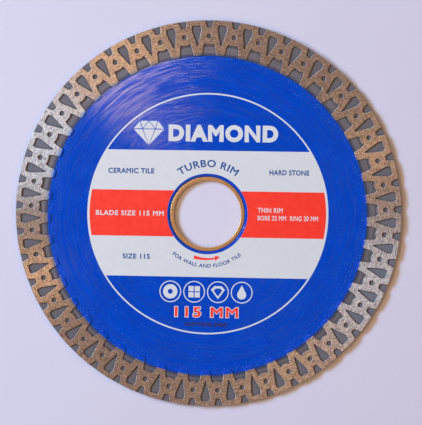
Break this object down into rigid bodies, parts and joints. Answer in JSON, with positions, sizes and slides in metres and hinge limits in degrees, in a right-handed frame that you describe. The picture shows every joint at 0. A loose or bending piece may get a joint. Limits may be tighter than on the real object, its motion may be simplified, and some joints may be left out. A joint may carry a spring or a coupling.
{
  "type": "diamond blade",
  "caption": "Round diamond cutting blade with a lattice rim raised on both faces, a lacquered steel core, printed bands and a removable reducing ring in its bore.",
  "frame": {"origin": "centre of the bore, halfway through the thickness", "axes": "+Z along the spindle axis, out of the printed face; +Y to the top of the print; +X to its right"},
  "size_m": [0.115, 0.115, 0.0016],
  "materials": {
    "bare_steel": "ground bare steel, brushed in circles",
    "sintered_metal": "sintered bronze and steel powder, tops ground bright, pockets matt and grey",
    "copper_alloy": "turned copper alloy, satin with bright rounded edges",
    "blue_lacquer": "sprayed lacquer with the grinding marks of the steel showing through",
    "white_ink": "screen-printed ink, satin",
    "red_ink": "screen-printed ink, satin"
  },
  "bodies": {
    "disc": {"steel_core": "bare_steel", "diamond_rim": "sintered_metal", "front_lacquer": "blue_lacquer", "back_lacquer": "blue_lacquer", "white_print": "white_ink", "red_band_left": "red_ink", "red_band_right": "red_ink", "rotation_arrow": "red_ink"},
    "ring": {"reducing_ring": "copper_alloy"}
  },
  "joints": [
    {"name": "ring_push_out", "type": "slide", "parent": "disc", "child": "ring", "axis": [0, 0, 1], "range_m": [0, 0.006]}
  ]
}
